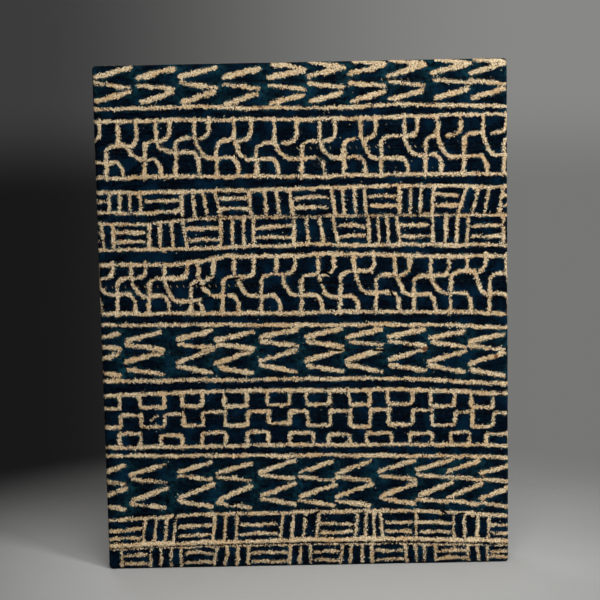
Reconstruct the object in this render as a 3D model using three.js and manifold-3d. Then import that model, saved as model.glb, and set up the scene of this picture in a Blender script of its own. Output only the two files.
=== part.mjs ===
// An indigo ndop cloth, woven in narrow strips and sewn edge to edge, pulled tight over a wooden
// stretcher frame. Millimetres, +Z up. X runs along the width and the patterned face looks toward -Y.
// The panel stands on its lower edge, and the origin is under its middle.

import * as THREE from 'three';
import { RoundedBoxGeometry } from 'three/addons/geometries/RoundedBoxGeometry.js';
import { mergeVertices } from 'three/addons/utils/BufferGeometryUtils.js';
import Module from 'manifold-3d';

// The stretcher frame
const FRAME_WIDTH = 406;
const FRAME_HEIGHT = 508;
const FRAME_DEPTH = 36;
const BAR_FACE = 42;
const BAR_SLOPE = 3;

// The cloth
const CLOTH = 1.5;
const EDGE_RADIUS = 3.5;
const ROUND_STEPS = 2;
const SIDE_RETURN = 28;
const TOP_RETURN = 12;
const BOTTOM_RETURN = 8;
const SEAM_STEPS = 10;

// The ridge where the eighth strip laps over the ninth
const LAP_WIDTH = 5;
const LAP_PROUD = 1.1;
const LAP_STEPS = 6;

// Clearance between neighbouring pieces, and how far a cutting shape reaches past what it cuts
const GAP = 0.3;
const ROOM = 10;

const INDIGO = new THREE.Color(0.030, 0.085, 0.140);
const PINE = new THREE.Color(0.58, 0.42, 0.25);

const OUT = CLOTH + GAP;
const WIDTH = FRAME_WIDTH + 2 * OUT;
const HEIGHT = FRAME_HEIGHT + 2 * OUT;
const DEPTH = FRAME_DEPTH + 2 * OUT;
const MIDDLE_Z = HEIGHT / 2;
const FRONT_Y = -DEPTH / 2;

// Height of each seam at the panel's left edge, middle and right edge: the strips are about 67 mm wide
// and, like all hand work, not quite level
const SEAMS = [
  { left: 493.6, middle: 493.2, right: 492.8 },
  { left: 426.4, middle: 427.0, right: 425.8 },
  { left: 360.0, middle: 359.2, right: 358.4 },
  { left: 291.6, middle: 290.9, right: 291.3 },
  { left: 223.6, middle: 223.2, right: 222.4 },
  { left: 156.2, middle: 157.0, right: 156.4 },
  { left: 90.2, middle: 89.6, right: 88.6 },
  { left: 20.8, middle: 23.8, right: 18.6 },
];

const wasm = await Module();
wasm.setup();

function toSolid(geometry) {
  const bare = geometry.index ? geometry.toNonIndexed() : geometry.clone();
  bare.deleteAttribute('normal');
  bare.deleteAttribute('uv');
  const merged = mergeVertices(bare, 1e-4);
  const vertProperties = new Float32Array(merged.attributes.position.array);
  const triVerts = new Uint32Array(merged.index.array);
  return new wasm.Manifold(new wasm.Mesh({ numProp: 3, vertProperties, triVerts }));
}

function toGeometry(solid) {
  const mesh = solid.getMesh();
  const geometry = new THREE.BufferGeometry();
  geometry.setAttribute('position', new THREE.BufferAttribute(new Float32Array(mesh.vertProperties), 3));
  geometry.setIndex(new THREE.BufferAttribute(new Uint32Array(mesh.triVerts), 1));
  geometry.computeVertexNormals();
  return geometry;
}

function box(width, depth, height, x, y, z) {
  return toSolid(new THREE.BoxGeometry(width, depth, height).translate(x, y, z));
}

function roundedPanel(width, depth, height, radius) {
  const rounded = new RoundedBoxGeometry(width, depth, height, ROUND_STEPS, radius);
  return toSolid(rounded.translate(0, 0, MIDDLE_Z));
}

// A seam runs as one shallow arc through its three heights
function seamHeight(index, x) {
  const across = Math.max(-1, Math.min(1, x / (WIDTH / 2)));
  const { left, middle, right } = SEAMS[index];
  const ends = (left + right) / 2;
  return ends + (right - left) / 2 * across + (middle - ends) * (1 - across * across);
}

// The whole cloth, before it is parted at its seams: a thin skin over the front, the four edges and a
// narrow return on the back
function wholeCloth() {
  const thin = 2 * CLOTH;
  const outside = roundedPanel(WIDTH, DEPTH, HEIGHT, EDGE_RADIUS);
  const inside = roundedPanel(WIDTH - thin, DEPTH - thin, HEIGHT - thin, EDGE_RADIUS - CLOTH);
  const windowHeight = HEIGHT - TOP_RETURN - BOTTOM_RETURN;
  const windowZ = BOTTOM_RETURN + windowHeight / 2;
  const window = box(WIDTH - 2 * SIDE_RETURN, DEPTH, windowHeight, 0, DEPTH / 2, windowZ);
  return outside.subtract(inside).subtract(window);
}

// The space that one strip takes, between the seam above it and the seam below it
function stripRoom(index) {
  const room = new THREE.BoxGeometry(WIDTH + 2 * ROOM, DEPTH + 2 * ROOM, 1, SEAM_STEPS, 1, 1);
  const points = room.attributes.position;
  for (let i = 0; i < points.count; i += 1) {
    const x = points.getX(i);
    const isTop = points.getZ(i) > 0;
    let z = isTop ? HEIGHT + ROOM : -ROOM;
    if (isTop && index > 0) z = seamHeight(index - 1, x) - GAP / 2;
    if (!isTop && index < SEAMS.length) z = seamHeight(index, x) + GAP / 2;
    points.setZ(i, z);
  }
  return toSolid(room);
}

// A low rounded ridge along the front, just above a seam
function lapRidge(index) {
  const section = new THREE.Shape();
  section.absellipse(LAP_WIDTH / 2, 0, LAP_WIDTH / 2, LAP_PROUD, 0, Math.PI, false);
  section.lineTo(0, -CLOTH / 2);
  section.lineTo(LAP_WIDTH, -CLOTH / 2);
  const length = WIDTH - 2 * EDGE_RADIUS;
  const options = { depth: length, steps: SEAM_STEPS, curveSegments: LAP_STEPS, bevelEnabled: false };
  const ridge = new THREE.ExtrudeGeometry(section, options);
  const points = ridge.attributes.position;
  for (let i = 0; i < points.count; i += 1) {
    const x = points.getZ(i) - length / 2;
    const up = points.getX(i);
    const proud = points.getY(i);
    points.setXYZ(i, x, FRONT_Y - proud, seamHeight(index, x) + GAP / 2 + up);
  }
  return toSolid(ridge);
}

// One bar, mitred at both ends, its front face sloping away from the cloth. It lies along X with its
// outer edge down at z = 0, and is turned into place afterwards.
function bar(length) {
  const half = length / 2;
  const joint = GAP / Math.SQRT2;
  const outline = new THREE.Shape();
  outline.moveTo(-half + joint, 0);
  outline.lineTo(half - joint, 0);
  outline.lineTo(half - BAR_FACE - joint, BAR_FACE);
  outline.lineTo(-half + BAR_FACE + joint, BAR_FACE);
  const geometry = new THREE.ExtrudeGeometry(outline, { depth: FRAME_DEPTH, bevelEnabled: false });
  geometry.rotateX(Math.PI / 2);
  geometry.translate(0, FRAME_DEPTH / 2, 0);
  const points = geometry.attributes.position;
  for (let i = 0; i < points.count; i += 1) {
    const isInnerFront = points.getY(i) < 0 && points.getZ(i) > BAR_FACE / 2;
    if (isInnerFront) points.setY(i, points.getY(i) + BAR_SLOPE);
  }
  return geometry;
}

// The frame's outside edges are eased, so the cloth turns over them without a sharp crease
const easedFrame = roundedPanel(FRAME_WIDTH, FRAME_DEPTH, FRAME_HEIGHT, EDGE_RADIUS - OUT);

const BARS = [
  { name: 'bar_bottom', length: FRAME_WIDTH, turn: 0, x: 0, z: OUT },
  { name: 'bar_right', length: FRAME_HEIGHT, turn: -Math.PI / 2, x: FRAME_WIDTH / 2, z: MIDDLE_Z },
  { name: 'bar_top', length: FRAME_WIDTH, turn: Math.PI, x: 0, z: HEIGHT - OUT },
  { name: 'bar_left', length: FRAME_HEIGHT, turn: Math.PI / 2, x: -FRAME_WIDTH / 2, z: MIDDLE_Z },
];

const panel = new THREE.Group();

function addPiece(name, solid, color, roughness) {
  const material = new THREE.MeshStandardMaterial({ color, roughness, metalness: 0 });
  const mesh = new THREE.Mesh(toGeometry(solid), material);
  mesh.name = name;
  panel.add(mesh);
}

for (const { name, length, turn, x, z } of BARS) {
  const placed = bar(length).rotateY(turn).translate(x, 0, z);
  addPiece(name, toSolid(placed).intersect(easedFrame), PINE, 0.7);
}

const cloth = wholeCloth();
for (let index = 0; index <= SEAMS.length; index += 1) {
  const name = `strip_${String(index + 1).padStart(2, '0')}`;
  let strip = cloth.intersect(stripRoom(index));
  if (index === SEAMS.length - 1) strip = strip.add(lapRidge(index));
  addPiece(name, strip, INDIGO, 0.9);
}

export default panel;
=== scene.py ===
# %% [markdown]
# # An indigo ndop cloth on a stretcher frame
# Ndop is a cotton cloth of the Cameroon grassfields. Narrow strips are woven by hand and sewn edge to
# edge. The pattern is then stitched down tightly with raffia, the cloth is dyed in indigo, and the
# raffia is cut out again, which leaves the pattern in the pale colour of the cotton. This one is pulled
# over a wooden frame like a painter's canvas. This lesson dresses the nine strips and the four bars of
# the packed model, one material and one kind of detail at a time.

import math
from collections import namedtuple

import bpy
import numpy as np
from mathutils import Matrix, Vector


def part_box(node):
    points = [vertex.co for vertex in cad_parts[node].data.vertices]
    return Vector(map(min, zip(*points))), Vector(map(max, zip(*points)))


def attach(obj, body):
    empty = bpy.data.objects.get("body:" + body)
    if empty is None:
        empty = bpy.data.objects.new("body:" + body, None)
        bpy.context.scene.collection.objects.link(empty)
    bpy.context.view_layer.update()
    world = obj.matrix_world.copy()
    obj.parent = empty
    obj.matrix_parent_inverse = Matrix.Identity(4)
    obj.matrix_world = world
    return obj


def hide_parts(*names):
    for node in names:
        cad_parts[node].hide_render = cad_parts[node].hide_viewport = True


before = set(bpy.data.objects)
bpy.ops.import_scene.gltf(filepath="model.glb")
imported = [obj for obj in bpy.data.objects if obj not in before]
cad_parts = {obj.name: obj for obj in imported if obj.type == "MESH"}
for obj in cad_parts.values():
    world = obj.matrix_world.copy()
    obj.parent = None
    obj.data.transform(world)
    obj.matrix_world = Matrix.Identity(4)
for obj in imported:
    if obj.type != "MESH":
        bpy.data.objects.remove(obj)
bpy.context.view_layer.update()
STRIP_NAMES = sorted(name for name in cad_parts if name.startswith("strip_"))
BAR_NAMES = sorted(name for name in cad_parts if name.startswith("bar_"))
print("loaded", len(STRIP_NAMES), "strips and", len(BAR_NAMES), "bars")

# %% [markdown]
# ## The camera
# The panel was measured in the photograph with the camera's place, tilt and field of view as unknowns.
# The camera stands almost as high as the panel's top and looks down by seven and a half degrees, so the
# panel's sides draw together slightly towards its foot.

# %% Set up the camera
CAMERA_PLACE = (0.0036, -1.65, 0.4889)
CAMERA_YAW = math.radians(-0.258)
CAMERA_PITCH = math.radians(7.472)
CAMERA_ROLL = math.radians(1.129)
FIELD_OF_VIEW = math.radians(20.777)

forward = Vector((
    math.sin(CAMERA_YAW) * math.cos(CAMERA_PITCH),
    math.cos(CAMERA_YAW) * math.cos(CAMERA_PITCH),
    -math.sin(CAMERA_PITCH),
))
level_right = Vector((math.cos(CAMERA_YAW), -math.sin(CAMERA_YAW), 0))
level_down = forward.cross(level_right)
image_right = math.cos(CAMERA_ROLL) * level_right + math.sin(CAMERA_ROLL) * level_down
image_up = math.sin(CAMERA_ROLL) * level_right - math.cos(CAMERA_ROLL) * level_down

camera_data = bpy.data.cameras.new("camera")
camera_data.sensor_fit = "HORIZONTAL"
camera_data.angle = FIELD_OF_VIEW
camera = bpy.data.objects.new("camera", camera_data)
bpy.context.scene.collection.objects.link(camera)
camera.matrix_world = Matrix.Translation(CAMERA_PLACE) @ Matrix((
    (image_right.x, image_up.x, -forward.x),
    (image_right.y, image_up.y, -forward.y),
    (image_right.z, image_up.z, -forward.z),
)).to_4x4()
bpy.context.scene.camera = camera
bpy.context.scene.view_settings.view_transform = "Standard"
print("camera at", CAMERA_PLACE, "with a lens of", round(camera_data.lens, 1), "mm")

# %% [markdown]
# ## Sizes of the panel
# A textile is easiest to think about in millimetres, so the lesson works in them and turns them into
# metres only where a mesh is made. The panel's width, height and depth come from the packed strips. The
# cloth's thickness, the rounding of the edges, the turned-over returns on the back, the gap between two
# strips and the size of a mesh step are given here.

# %% Read the panel's sizes
MM = 0.001
CLOTH = 1.5
EDGE_RADIUS = 3.5
SIDE_RETURN = 28.0
TOP_RETURN = 12.0
BOTTOM_RETURN = 8.0
STRIP_GAP = 0.06
GRID = 1.3

second_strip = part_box(STRIP_NAMES[1])[1]
HALF_WIDTH = second_strip.x / MM
HALF_DEPTH = second_strip.y / MM
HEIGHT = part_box(STRIP_NAMES[0])[1].z / MM
FLAT_HALF = HALF_WIDTH - EDGE_RADIUS
FLAT_SIDE = 2 * (HALF_DEPTH - EDGE_RADIUS)
QUARTER = math.pi / 2 * EDGE_RADIUS
SIDE_START = FLAT_HALF + QUARTER
SIDE_END = SIDE_START + FLAT_SIDE
BACK_START = SIDE_END + QUARTER
RETURN_END = BACK_START + SIDE_RETURN - EDGE_RADIUS
STRIP_LENGTH = 2 * RETURN_END
print(f"panel {2 * HALF_WIDTH:.1f} x {HEIGHT:.1f} x {2 * HALF_DEPTH:.1f} mm")
print(f"a strip is {STRIP_LENGTH:.1f} mm long")

# %% [markdown]
# ## The seams
# Each strip is about 67 mm wide. The seams between them were never quite level, so each has its own
# height at the panel's left edge, middle and right edge, and runs through the three as one shallow arc.

# %% Place the seams
Seam = namedtuple("Seam", "left middle right")
SEAMS = [
    Seam(493.6, 493.2, 492.8),
    Seam(426.4, 427.0, 425.8),
    Seam(360.0, 359.2, 358.4),
    Seam(291.6, 290.9, 291.3),
    Seam(223.6, 223.2, 222.4),
    Seam(156.2, 157.0, 156.4),
    Seam(90.2, 89.6, 88.6),
    Seam(20.8, 23.8, 18.6),
]


def seam_height(seam, x):
    """How high a seam runs at x: one shallow arc through its three heights."""
    across = np.clip(x / HALF_WIDTH, -1, 1)
    ends = (seam.left + seam.right) / 2
    return ends + (seam.right - seam.left) / 2 * across + (seam.middle - ends) * (1 - across * across)


print("strips are", [round(a.middle - b.middle, 1) for a, b in zip(SEAMS, SEAMS[1:])], "mm wide")

# %% [markdown]
# ## Smooth noise for handmade things
# Nothing on a hand-woven cloth is exactly straight or even. One helper gives smooth random heights over
# the cloth: random values on a coarse lattice, blended softly in between. Every use has its own seed, so
# the script gives the same cloth each time.

# %% Make the noise helper
NOISE_LATTICE = 64


def soft_noise(u, v, size_u, size_v, seed):
    """Heights from -1 to 1 that change softly, over size_u millimetres one way and size_v the other."""
    lattice = np.random.default_rng(seed).uniform(-1, 1, (NOISE_LATTICE, NOISE_LATTICE))
    across = np.asarray(u, float) / size_u
    up = np.asarray(v, float) / size_v
    i = np.floor(across).astype(int)
    j = np.floor(up).astype(int)
    a = across - i
    b = up - j
    a = a * a * (3 - 2 * a)
    b = b * b * (3 - 2 * b)
    i, j = i % NOISE_LATTICE, j % NOISE_LATTICE
    k, m = (i + 1) % NOISE_LATTICE, (j + 1) % NOISE_LATTICE
    low = lattice[i, j] * (1 - a) + lattice[k, j] * a
    high = lattice[i, m] * (1 - a) + lattice[k, m] * a
    return low * (1 - b) + high * b


print("noise sample", soft_noise(np.array([0.0, 10.0, 20.0]), 5.0, 30, 30, 1).round(2))

# %% [markdown]
# ## The pattern as strokes
# The maker stitched each mark as a stroke of tight raffia, so the pattern is kept as strokes too: short
# lines on the cloth, each with its thickness. Coordinates are cloth millimetres. u runs along the strips
# from the middle of the front, and v runs up from the foot. A stroke is broken into short steps, and each
# step wanders a little, as the needle did.

# %% Make the stroke helper
STEP = 3.2
WANDER = 0.30
EVEN_WIDTH = 4.0
hand = np.random.default_rng(1841)
segments = []
stroke_ends = []


def stroke(points, width=EVEN_WIDTH, wander=WANDER, ends=False):
    """Break a bent line into short steps that wander, and vary its thickness a little."""
    points = np.array(points, float)
    lengths = np.hypot(*np.diff(points, axis=0).T)
    along = np.concatenate([[0], np.cumsum(lengths)])
    count = max(2, int(round(along[-1] / STEP)) + 1)
    at = np.linspace(0, along[-1], count)
    u = np.interp(at, along, points[:, 0])
    v = np.interp(at, along, points[:, 1])
    u = u + hand.normal(0, wander, count)
    v = v + hand.normal(0, wander, count)
    radius = width / 2 * (1 + hand.normal(0, 0.10, count))
    radius[[0, -1]] *= hand.uniform(0.72, 1.05, 2)
    rows = np.column_stack([u[:-1], v[:-1], radius[:-1], u[1:], v[1:], radius[1:]])
    segments.extend(rows)
    if ends:
        stroke_ends.extend([(u[0], v[0]), (u[-1], v[-1])])


print("a stroke's step is", STEP, "mm")

# %% [markdown]
# ## The long lines
# Pale lines run the whole way across and part the bands. They follow the weft only roughly, so each has
# a handful of heights, evenly spaced from the left edge to the right. Most need five. The divider and the
# seventh line climb in a step on the left, where the maker lost the line and found it again, and need
# more. Round the sides the lines go on level.

# %% Stitch the long lines
REACH = RETURN_END + 4
Line = namedtuple("Line", "heights width")
LINES = {
    "crown": Line([535.5, 535.0, 534.0, 535.0, 534.0], 3.4),
    "brow": Line([523.5, 523.0, 522.0, 523.0, 522.0], 3.4),
    "first": Line([469.0, 469.7, 466.2, 468.3, 465.0], 3.5),
    "second": Line([456.5, 457.2, 455.2, 456.2, 457.0], 3.4),
    "third": Line([401.0, 401.0, 398.6, 399.2, 398.2], 3.4),
    "fourth": Line([387.0, 386.0, 386.4, 388.0, 385.0], 3.4),
    "divider": Line([356.2, 354.0, 359.4, 359.4, 359.2, 359.0, 358.5, 358.2, 357.0], 2.8),
    "sixth": Line([329.6, 328.8, 331.4, 328.8, 326.4], 3.5),
    "seventh": Line([
        314.6, 314.6, 314.2, 313.6, 316.6, 320.2, 320.0, 319.6, 319.6, 320.4, 320.0, 319.0, 317.6, 317.0,
        316.6, 316.2, 315.6], 3.8),
    "eighth": Line([264.4, 263.4, 262.0, 261.6, 257.4], 3.5),
    "ninth": Line([253.6, 251.8, 250.0, 248.4, 243.0], 3.6),
    "tenth": Line([195.6, 195.0, 195.2, 192.8, 186.0], 3.6),
    "eleventh": Line([180.8, 183.4, 182.6, 181.8, 175.2], 3.8),
    "twelfth": Line([127.2, 126.8, 126.6, 125.4, 121.6], 3.5),
    "thirteenth": Line([118.6, 117.9, 115.2, 113.6, 109.4], 3.6),
    "fourteenth": Line([50.6, 55.8, 56.4, 55.4, 49.2], 3.5),
    "ridge": Line([24.6, 26.8, 27.2, 26.6, 22.4], 4.4),
    "under ridge": Line([20.8, 22.4, 22.0, 21.4, 17.4], 1.2),
    "foot": Line([-6.0, -5.0, -5.0, -5.0, -6.0], 3.4),
}
HEM = "hem"
HEM_HEIGHT = 1.4


def line_height(name, u):
    """How high a long line runs at u."""
    if name == HEM:
        return HEM_HEIGHT + 0 * u
    heights = LINES[name].heights
    return np.interp(u, np.linspace(-HALF_WIDTH, HALF_WIDTH, len(heights)), heights)


for number, (name, line) in enumerate(LINES.items()):
    u = np.arange(-REACH, REACH, 6.0)
    v = line_height(name, u) + 0.7 * soft_noise(u, 0 * u, 26, 10, 300 + number)
    stroke(np.column_stack([u, v]), line.width, wander=0.24)
SPARE_LINE = [(-REACH, 366.8), (-200, 366.6), (-152, 365.0), (-136, 366.2), (-121, 368.6)]
stroke(SPARE_LINE, 3.0, wander=0.24)
print(len(LINES) + 1, "long lines,", len(segments), "steps")

# %% [markdown]
# ## Zigzag bands
# Three bands hold stacked arrowheads, made of short slanting strokes that almost meet. One column of
# strokes is given once, measured from the column's start and the band's middle line. A table says where
# the columns stand on the front and how far each one was stitched above or below its place. Past the
# edges the columns go on at the band's own pitch.

# %% Stitch the zigzag bands
Slant = namedtuple("Slant", "from_u from_v to_u to_v width since", defaults=(-2 * REACH,))
Zigzag = namedtuple("Zigzag", "pitch middle fall columns slants")
ZIGZAGS = [
    Zigzag(
        41, 488, 0,
        {-203: 4, -159: 2, -118: 2, -75: 0, -30: -1, 9: 0, 50: 0.5, 88: 0, 133: 1, 169: 0},
        [Slant(3, 23.5, 33, 19.5, 4.6, since=-60), Slant(0, 9.4, 35, 18.0, 5.0),
         Slant(0, 3.0, 35, -1.4, 3.9), Slant(2, -15.2, 33, -6.6, 4.8)],
    ),
    Zigzag(
        43, 222, 8.5,
        {-179: 0.5, -128: 1, -88: -0.5, -44: 1, 2.5: 0, 43: -0.5, 85.5: 0, 126: 0, 166.5: -0.5},
        [Slant(0, 15.0, 34, 22.0, 4.7), Slant(1, 10.2, 36, 5.8, 3.9),
         Slant(-1, -8.6, 35, 2.0, 4.7), Slant(0, -13.6, 35, -20.2, 4.3)],
    ),
    Zigzag(
        39.8, 85, 7.0,
        {-179: 0, -131: 2, -91: 0, -47: 2, -7.5: 0, 30: -0.5, 75: 0.5, 113: 2, 142: 1, 177: 1},
        [Slant(0, 13.2, 34, 23.4, 4.3), Slant(0, 8.8, 34, 4.8, 3.7),
         Slant(1, -12.8, 35, -0.4, 4.5), Slant(0, -17.0, 33, -21.8, 4.0)],
    ),
]
HALF_COLUMN = 20
COLUMN_SPREAD = 0.6


def all_columns(starts, pitch):
    """The charted starts, and more of them at the band's pitch past both ends."""
    starts = list(starts)
    before = np.arange(starts[0] - pitch, -REACH - pitch, -pitch)[::-1]
    after = np.arange(starts[-1] + pitch, REACH, pitch)
    return np.concatenate([before, starts, after])


def fallen(u, fall):
    """How far a band has dropped at u: nothing on the left half, and all of the fall at the right edge."""
    return fall * np.clip(u / HALF_WIDTH, 0, 1.1) ** 3


for band in ZIGZAGS:
    for start in all_columns(band.columns, band.pitch):
        middle = band.middle + band.columns.get(start, 0) - fallen(start + HALF_COLUMN, band.fall)
        for slant in band.slants:
            nudge = hand.normal(0, COLUMN_SPREAD, 4)
            first = (start + slant.from_u + nudge[0], middle + slant.from_v + nudge[1])
            last = (start + slant.to_u + nudge[2], middle + slant.to_v + nudge[3])
            if start > slant.since:
                stroke([first, last], slant.width, ends=True)
print("zigzags done,", len(segments), "steps")

# %% [markdown]
# ## Hook bands
# Two bands hold a running hook. Each repeat has a riser from the lower line that turns over at its top, a
# stem from the upper line that bends away to the next riser, a short hook beside it and a leg below. No
# two repeats came out alike, so each has its own row in a chart. Heights are measured from the lower line
# and distances from the riser: knee is where the level part crosses the riser, turn is how high the riser
# turns over and run is how far it goes on after that. Low is how far the stem steps aside at the turn.

# %% Stitch the hook bands
Hook = namedtuple("Hook", "start knee turn run stem low hook")
Hooks = namedtuple("Hooks", "foot top pitch chart")
HOOKS = [
    Hooks("third", "second", 40.0, [
        Hook(-193, 15, 32, 30, 12, 10, 30), Hook(-155, 17, 36, 12, 11.5, 1, 25),
        Hook(-124, 24, 38, 15, 19, 1, 33), Hook(-83, 18, 35.5, 17, 17, 1, 34),
        Hook(-44, 17, 33, 18, 18, 2, 40), Hook(1, 18, 35, 18, 18, 1, 33.5),
        Hook(43, 18, 36.5, 11, 17, 2, 31.5), Hook(80, 16, 38.5, 35, 23, 0, 36),
        Hook(124, 19, 38, 12, 12, 1, 35), Hook(162, 17, 40, 19, 19, 0, 42),
    ]),
    Hooks("eighth", "seventh", 37.4, [
        Hook(-187, 19.5, 36, 14, 14, 1, 29), Hook(-155, 17.5, 35.5, 38, 16, 0, 39),
        Hook(-113, 12.5, 33.5, 8, 8, 3, 23), Hook(-81, 17.5, 36.5, 30, 12, 4, 32),
        Hook(-42, 17, 39, 15, 15, 6, 34), Hook(-2, 17.5, 38.5, 17, 17, 1, 33),
        Hook(37, 16, 41, 33, 14, 1, 34), Hook(73, 19, 37.5, 19, 19, 2, 34),
        Hook(111, 17, 36, 34, 17, 1, 35), Hook(148, 19, 41, 23, 16, 8, 35),
        Hook(187, 19, 39.5, 17, 17, 1, 35),
    ]),
]
PLAIN_HOOK = Hook(0, 17.5, 36.5, 17, 17, 1, 34)
HOOK_WIDTH = 3.7

for band in HOOKS:
    charted = {row.start: row for row in band.chart}
    starts = all_columns(charted, band.pitch)
    rows = [charted.get(start, PLAIN_HOOK._replace(start=start)) for start in starts]
    for row, following in zip(rows, rows[1:]):
        start, foot = row.start, line_height(band.foot, row.start)
        stem, hook = start + row.stem, start + row.hook
        top = line_height(band.top, stem)
        knee, turn = foot + row.knee, foot + row.turn
        stroke([(start - 1, foot - 1), (start, knee), (start, turn - 5), (start + 3, turn - 1.5),
                (start + 8, turn), (start + max(row.run, 9) - 1, turn + 0.5)], HOOK_WIDTH)
        stroke([(stem, top + 1), (stem, turn + 2), (stem + row.low / 2, turn - 1)], HOOK_WIDTH)
        low, rest = stem + row.low, line_height(band.foot, following.start) + following.knee
        stroke([(low - 0.5, turn), (low + 1.5, turn - 8), (low + 6, rest + 4), (low + 11, rest + 0.5),
                (following.start, rest)], HOOK_WIDTH)
        stroke([(hook, top + 1), (hook, turn + 8), (hook - 1.5, turn + 3), (hook - 6, turn + 0.5),
                (max(low + 3, hook - 14), turn - 0.5)], HOOK_WIDTH)
        stroke([(start, knee), (start + 9, knee + 1), (stem - 1, knee), (stem + 3, knee - 6),
                (stem + 4, foot)], HOOK_WIDTH)
print("hooks done,", len(segments), "steps")

# %% [markdown]
# ## Basket bands
# Four bands look like plaited basketwork: groups of upright bars, mostly four, and two level bars across
# each space between the groups. A group is given by its first and last bar. Some bars lean, which is
# given for the first and the last bar as how far its top stands to the right of its foot. On the left of
# the first band a spare line runs above the divider, and the bars there end on it.

# %% Stitch the basket bands
Group = namedtuple("Group", "first last lean last_lean bars", defaults=(0, 0, 4))
Basket = namedtuple("Basket", "top foot width level groups")
BASKETS = [
    Basket("fourth", "divider", 3.2, (0.31, 0.665), [
        Group(-193, -160, 1, -1), Group(-119, -85, 0, -5), Group(-51, -10, -2, -3), Group(31, 64, -3, -1),
        Group(98, 129, 0, 2), Group(161, 198, 8, 4), Group(232, 262)]),
    Basket("divider", "sixth", 3.2, (0.35, 0.71), [
        Group(-260, -228), Group(-200, -189.5, -2, 0, 2), Group(-153, -117.5, 1, -3), Group(-81, -49),
        Group(-8.5, 34, 0, -5), Group(66, 95, 0, -3), Group(131, 165, 0, 2), Group(201.5, 236)]),
    Basket("fourteenth", "ridge", 2.9, (0.405, 0.735), [
        Group(-236, -209), Group(-167, -136, 3, 4), Group(-96.5, -73, 3, 2, 3), Group(-28.5, 9, 3, 4),
        Group(49.5, 76, 3, -2), Group(110.5, 110.5, 0, 0, 1), Group(149, 185, 0, 2), Group(226, 258)]),
    Basket("under ridge", HEM, 2.9, (0.35, 0.79), [
        Group(-230, -192, 0, 0, 2), Group(-162, -130, 1, 0), Group(-95, -61.5, 4, 1),
        Group(-19, 2.5, 1, 1, 3), Group(33, 65, 2, 0), Group(100, 130, -2, 0),
        Group(163.5, 183, -1, -1, 3), Group(232, 262)]),
]
SPARE_LINE_END = -121
SPARE_LINE_HEIGHT = 367.0

for number, band in enumerate(BASKETS):
    edges = [-REACH]
    for group in band.groups:
        on_spare_line = number == 0 and group.last < SPARE_LINE_END
        leans = np.linspace(group.lean, group.last_lean, group.bars)
        for u, lean in zip(np.linspace(group.first, group.last, group.bars), leans):
            u = u + hand.normal(0, 0.6)
            head = line_height(band.top, u) - 1
            foot = SPARE_LINE_HEIGHT if on_spare_line else line_height(band.foot, u) + 1
            stroke([(u + lean / 2, head), (u - lean / 2, foot)], band.width * hand.uniform(0.9, 1.15))
        edges.extend([group.first, group.last])
    edges.append(REACH)
    for left, right in zip(edges[::2], edges[1::2]):
        start, end = left + hand.uniform(3, 5), right - hand.uniform(3, 5)
        for share in band.level:
            at = np.array([start, (start + end) / 2, end])
            head, foot = line_height(band.top, at), line_height(band.foot, at)
            v = head + (foot - head) * share + hand.normal(0, 0.6, 3)
            if number > 0 or right > SPARE_LINE_END or share < 0.5:
                stroke(np.column_stack([at, v]), band.width * hand.uniform(1.0, 1.15))
print("baskets done,", len(segments), "steps")

# %% [markdown]
# ## The meander band
# The sixth band is a wall of battlements. From its upper line hang square loops, a crenellated line runs
# below them, and square arches stand on its lower line under every high part. Here too each repeat has a
# row: where the loop starts and how wide it is, where the arch stands, how far the crenellated line drops
# below the upper line and how high the arch is.

# %% Stitch the meander band
Battlement = namedtuple("Battlement", "start width arch_left arch_right low arch_top")
BATTLEMENTS = [
    Battlement(-210, 22, 20, 42, 33.0, 14.5), Battlement(-167.5, 24, 20, 41.5, 34.3, 12.0),
    Battlement(-125.6, 20.5, 20, 43.5, 34.5, 14.3), Battlement(-83, 23.5, 23, 44.5, 35.0, 14.0),
    Battlement(-38.6, 22, 22, 45.5, 33.0, 12.2), Battlement(0.5, 24, 22, 44, 36.0, 10.4),
    Battlement(43, 22, 18, 43.5, 38.0, 11.6), Battlement(84, 23.5, 21, 44, 36.0, 11.0),
    Battlement(127, 24, 20, 38.5, 34.5, 13.0), Battlement(168, 21, 15, 38, 34.0, 12.5),
]
PLAIN_BATTLEMENT = Battlement(0, 23, 21, 42, 34.5, 13.0)
MEANDER_PITCH = 42.0
MEANDER_WIDTH = 3.5
LOOP_FOOT = 14.4
HIGH = 21.0

charted = {row.start: row for row in BATTLEMENTS}
starts = all_columns(charted, MEANDER_PITCH)
for start, following in zip(starts, starts[1:]):
    row = charted.get(start, PLAIN_BATTLEMENT)
    top = line_height("eleventh", start + 20)
    foot = line_height("twelfth", start + 30)
    shift = hand.normal(0, 0.5, 4)
    left, right = start + shift[0], start + row.width + shift[1]
    bottom = top - LOOP_FOOT + shift[2]
    stroke([(left, top), (left, bottom), (right, bottom), (right, top)], MEANDER_WIDTH)
    high, low = top - HIGH + shift[3], top - row.low
    valley = [(left + 1, high), (left + 1, low), (right, low), (right + 0.5, high), (following + 1, high)]
    stroke(valley, MEANDER_WIDTH)
    arch_left, arch_right, crown = start + row.arch_left, start + row.arch_right, foot + row.arch_top
    stroke([(arch_left, foot), (arch_left, crown), (arch_right, crown), (arch_right, foot)], MEANDER_WIDTH)
LOOSE_RAFFIA = [(-158, 154.5), (-150, 159.5)]
stroke(LOOSE_RAFFIA, 1.2, wander=0.1)
segments = np.array(segments)
print("pattern done:", len(segments), "steps")

# %% [markdown]
# ## Marks of wear
# The cloth is old. Where a seam or a line was strained, threads have parted and short dark slits show.
# Here and there a brown spot sits on the cotton, where something rusted or burned. These marks belong to
# this one cloth, so they are charted from the photograph too: slits by their two ends, spots by place and
# size.

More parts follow.
